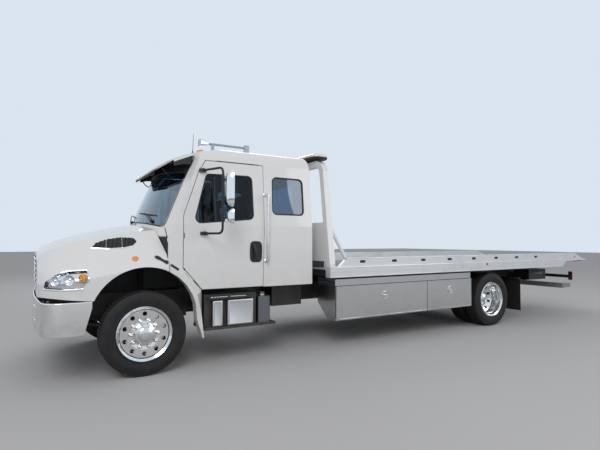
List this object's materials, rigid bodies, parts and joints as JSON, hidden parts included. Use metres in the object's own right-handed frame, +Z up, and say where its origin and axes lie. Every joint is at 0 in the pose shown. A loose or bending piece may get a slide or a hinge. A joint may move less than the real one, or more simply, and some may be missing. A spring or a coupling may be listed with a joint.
{
  "type": "flatbed tow truck",
  "caption": "White flatbed tow truck with an extended cab, a polished bumper, steel toolboxes, a bed that tilts and slides under a headboard arch, and a wheel lift.",
  "frame": {"origin": "ground point below the middle of the truck's overall length and width", "axes": "+X towards the front bumper, +Y towards the driver's left side, +Z up"},
  "size_m": [9.9698, 2.91, 2.785],
  "materials": {
    "white_paint": "gloss",
    "frame_paint": "satin",
    "chrome": "polished",
    "tinted_glass": "gloss",
    "black_plastic": "matte",
    "interior_grey": "matte",
    "seat_cloth": "matte",
    "lamp_lens": "gloss",
    "clear_lens": "gloss",
    "amber_bar": "gloss",
    "tyre": "matte",
    "wheel_metal": "satin",
    "cast_metal": "matte",
    "stainless": "brushed",
    "rail_aluminium": "satin",
    "deck_steel": "satin",
    "bed_paint": "satin",
    "lift_grey": "satin",
    "flap_rubber": "matte"
  },
  "bodies": {
    "chassis": {"frame_rails": "frame_paint", "cab_floor": "white_paint", "cab_cowl": "white_paint", "cab_roof": "white_paint", "cab_rear": "white_paint", "cab_glass": "tinted_glass", "dashboard": "interior_grey", "seats": "seat_cloth", "sun_visor": "white_paint", "air_horn": "chrome", "lamps": "lamp_lens", "grab_rails": "stainless", "step_box": "rail_aluminium", "tanks": "rail_aluminium", "fender_extensions": "white_paint", "front_bumper": "chrome", "driveline": "cast_metal", "front_axle": "cast_metal", "rear_axle": "cast_metal", "toolbox_left": "stainless", "toolbox_right": "stainless", "mud_flaps": "flap_rubber", "rear_body": "black_plastic"},
    "hood": {"hood_shell": "white_paint", "grilles": "chrome", "headlamps": "clear_lens"},
    "door_left_body": {"door_left": "white_paint", "door_glass_left": "tinted_glass", "mirror_left": "chrome"},
    "door_right_body": {"door_right": "white_paint", "door_glass_right": "tinted_glass", "mirror_right": "chrome"},
    "knuckle_left_body": {"knuckle_left": "cast_metal"},
    "knuckle_right_body": {"knuckle_right": "cast_metal"},
    "wheel_front_left": {"front_tyre_left": "tyre", "front_wheel_left": "wheel_metal"},
    "wheel_front_right": {"front_tyre_right": "tyre", "front_wheel_right": "wheel_metal"},
    "wheels_rear_left": {"rear_tyres_left": "tyre", "rear_wheels_left": "wheel_metal"},
    "wheels_rear_right": {"rear_tyres_right": "tyre", "rear_wheels_right": "wheel_metal"},
    "box_door_left_front": {"toolbox_door_left_front": "stainless"},
    "box_door_left_rear": {"toolbox_door_left_rear": "stainless"},
    "box_door_right_front": {"toolbox_door_right_front": "stainless"},
    "box_door_right_rear": {"toolbox_door_right_rear": "stainless"},
    "tilt_frame": {"subframe": "frame_paint"},
    "cylinder_barrels": {"tilt_barrels": "frame_paint"},
    "cylinder_rods": {"tilt_rods": "chrome"},
    "bed": {"bed_frame": "bed_paint", "slide_rod": "chrome", "bed_deck": "deck_steel", "bed_rails": "rail_aluminium", "headboard": "white_paint", "light_bar": "amber_bar", "winch": "frame_paint"},
    "drum": {"winch_drum": "stainless"},
    "lift_arm": {"lift_boom": "lift_grey"},
    "lift_cross": {"lift_bar": "lift_grey"}
  },
  "joints": [
    {"name": "hood_tilt", "type": "hinge", "parent": "chassis", "child": "hood", "pos_m": [4.925, 0, 0.885], "axis": [0, 1, 0], "range_deg": [0, 75]},
    {"name": "door_left_hinge", "type": "hinge", "parent": "chassis", "child": "door_left_body", "pos_m": [3.527, 1.05, 1.6], "axis": [0, 0, -1], "range_deg": [0, 70]},
    {"name": "door_right_hinge", "type": "hinge", "parent": "chassis", "child": "door_right_body", "pos_m": [3.527, -1.05, 1.6], "axis": [0, 0, 1], "range_deg": [0, 70]},
    {"name": "steer_left", "type": "hinge", "parent": "chassis", "child": "knuckle_left_body", "pos_m": [3.955, 0.88, 0.455], "axis": [0, 0, 1], "range_deg": [-38, 38]},
    {"name": "steer_right", "type": "hinge", "parent": "chassis", "child": "knuckle_right_body", "pos_m": [3.955, -0.88, 0.455], "axis": [0, 0, 1], "range_deg": [-38, 38]},
    {"name": "spin_front_left", "type": "hinge", "parent": "knuckle_left_body", "child": "wheel_front_left", "pos_m": [3.955, 1.025, 0.455], "axis": [0, 1, 0], "continuous": true},
    {"name": "spin_front_right", "type": "hinge", "parent": "knuckle_right_body", "child": "wheel_front_right", "pos_m": [3.955, -1.025, 0.455], "axis": [0, 1, 0], "continuous": true},
    {"name": "spin_rear_left", "type": "hinge", "parent": "chassis", "child": "wheels_rear_left", "pos_m": [-1.887, 0.92, 0.455], "axis": [0, 1, 0], "continuous": true},
    {"name": "spin_rear_right", "type": "hinge", "parent": "chassis", "child": "wheels_rear_right", "pos_m": [-1.887, -0.92, 0.455], "axis": [0, 1, 0], "continuous": true},
    {"name": "box_left_front_hinge", "type": "hinge", "parent": "chassis", "child": "box_door_left_front", "pos_m": [0.6065, 1.22, 0.398], "axis": [-1, 0, 0], "range_deg": [0, 90]},
    {"name": "box_left_rear_hinge", "type": "hinge", "parent": "chassis", "child": "box_door_left_rear", "pos_m": [-0.792, 1.22, 0.398], "axis": [-1, 0, 0], "range_deg": [0, 90]},
    {"name": "box_right_front_hinge", "type": "hinge", "parent": "chassis", "child": "box_door_right_front", "pos_m": [0.6065, -1.22, 0.398], "axis": [1, 0, 0], "range_deg": [0, 90]},
    {"name": "box_right_rear_hinge", "type": "hinge", "parent": "chassis", "child": "box_door_right_rear", "pos_m": [-0.792, -1.22, 0.398], "axis": [1, 0, 0], "range_deg": [0, 90]},
    {"name": "bed_tilt", "type": "hinge", "parent": "chassis", "child": "tilt_frame", "pos_m": [-4.195, 0, 0.88], "axis": [0, -1, 0], "range_deg": [0, 14]},
    {"name": "bed_slide", "type": "slide", "parent": "tilt_frame", "child": "bed", "axis": [-1, 0, 0], "range_m": [0, 3.4]},
    {"name": "tilt_barrel_swing", "type": "hinge", "parent": "chassis", "child": "cylinder_barrels", "pos_m": [-0.945, 0, 0.6], "axis": [0, -1, 0], "range_deg": [0, 34]},
    {"name": "tilt_rod_stroke", "type": "slide", "parent": "cylinder_barrels", "child": "cylinder_rods", "axis": [0.9864, 0, 0.1644], "range_m": [0, 0.42]},
    {"name": "winch_spin", "type": "hinge", "parent": "bed", "child": "drum", "pos_m": [1.175, 0, 1.205], "axis": [0, 1, 0], "continuous": true},
    {"name": "lift_tilt", "type": "hinge", "parent": "chassis", "child": "lift_arm", "pos_m": [-3.9, 0, 0.545], "axis": [0, -1, 0], "range_deg": [0, 14]},
    {"name": "lift_slide", "type": "slide", "parent": "lift_arm", "child": "lift_cross", "axis": [-1, 0, 0], "range_m": [0, 0.9]}
  ],
  "couplings": [
    {"joint": "steer_right", "follows": "steer_left", "ratio": 1},
    {"joint": "tilt_barrel_swing", "follows": "bed_tilt", "ratio": 2.378},
    {"joint": "tilt_rod_stroke", "follows": "bed_tilt", "m_per_rad": 1.7017}
  ]
}
